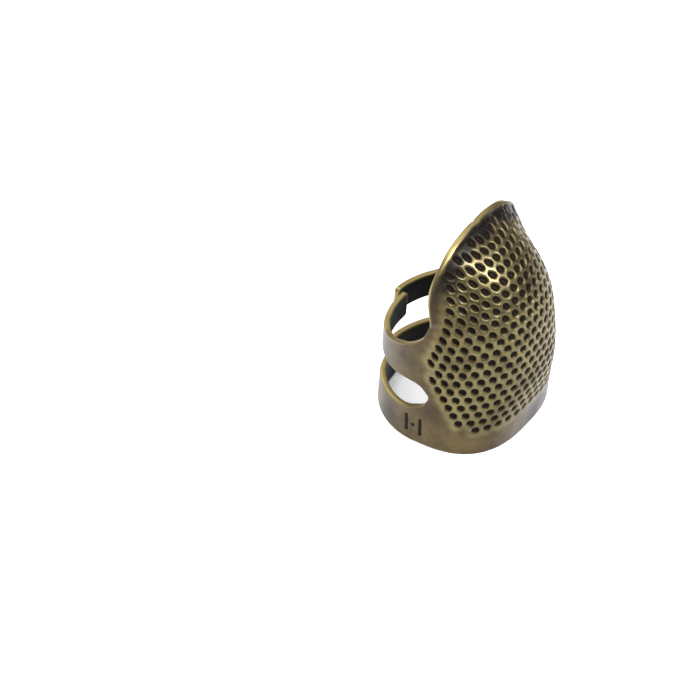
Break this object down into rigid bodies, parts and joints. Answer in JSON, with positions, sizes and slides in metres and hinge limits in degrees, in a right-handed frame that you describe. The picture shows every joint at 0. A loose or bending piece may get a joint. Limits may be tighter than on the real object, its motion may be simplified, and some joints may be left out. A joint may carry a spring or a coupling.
{
  "type": "adjustable finger-shield thimble",
  "caption": "Adjustable bronze finger-shield thimble: a domed, dimpled front with a flared lip and split bands that wrap the nail side.",
  "frame": {"origin": "centre of the finger opening, on the plane of the base rim that the thimble stands on", "axes": "+Z out of the fingertip end along the finger, -Y out of the dimpled front, +Y the open nail side, +X to the right seen from the front"},
  "size_m": [0.0184, 0.0198, 0.026],
  "materials": {
    "bronze": "antique bronze plating, dark in the dimples and inside, worn bright on raised edges"
  },
  "bodies": {
    "shield": {"shield": "bronze"},
    "upper_left_arm": {"upper_band_left": "bronze"},
    "upper_right_arm": {"upper_band_right": "bronze"},
    "lower_left_arm": {"lower_band_left": "bronze"},
    "lower_right_arm": {"lower_band_right": "bronze"}
  },
  "joints": [
    {"name": "upper_left_bend", "type": "hinge", "parent": "shield", "child": "upper_left_arm", "pos_m": [-0.008, 0.00258, 0.012], "axis": [0.0325, -0.0117, 0.9994], "range_deg": [-9.2, 17.25]},
    {"name": "upper_right_bend", "type": "hinge", "parent": "shield", "child": "upper_right_arm", "pos_m": [0.008, 0.00258, 0.012], "axis": [0.0325, 0.0117, -0.9994], "range_deg": [-8, 15]},
    {"name": "lower_left_bend", "type": "hinge", "parent": "shield", "child": "lower_left_arm", "pos_m": [-0.00839, 0.00272, 0], "axis": [0.0325, -0.0117, 0.9994], "range_deg": [-9.2, 17.25]},
    {"name": "lower_right_bend", "type": "hinge", "parent": "shield", "child": "lower_right_arm", "pos_m": [0.00839, 0.00272, 0], "axis": [0.0325, 0.0117, -0.9994], "range_deg": [-8, 15]}
  ],
  "couplings": [
    {"joint": "upper_left_bend", "follows": "upper_right_bend", "ratio": 1.15},
    {"joint": "lower_left_bend", "follows": "lower_right_bend", "ratio": 1.15}
  ]
}
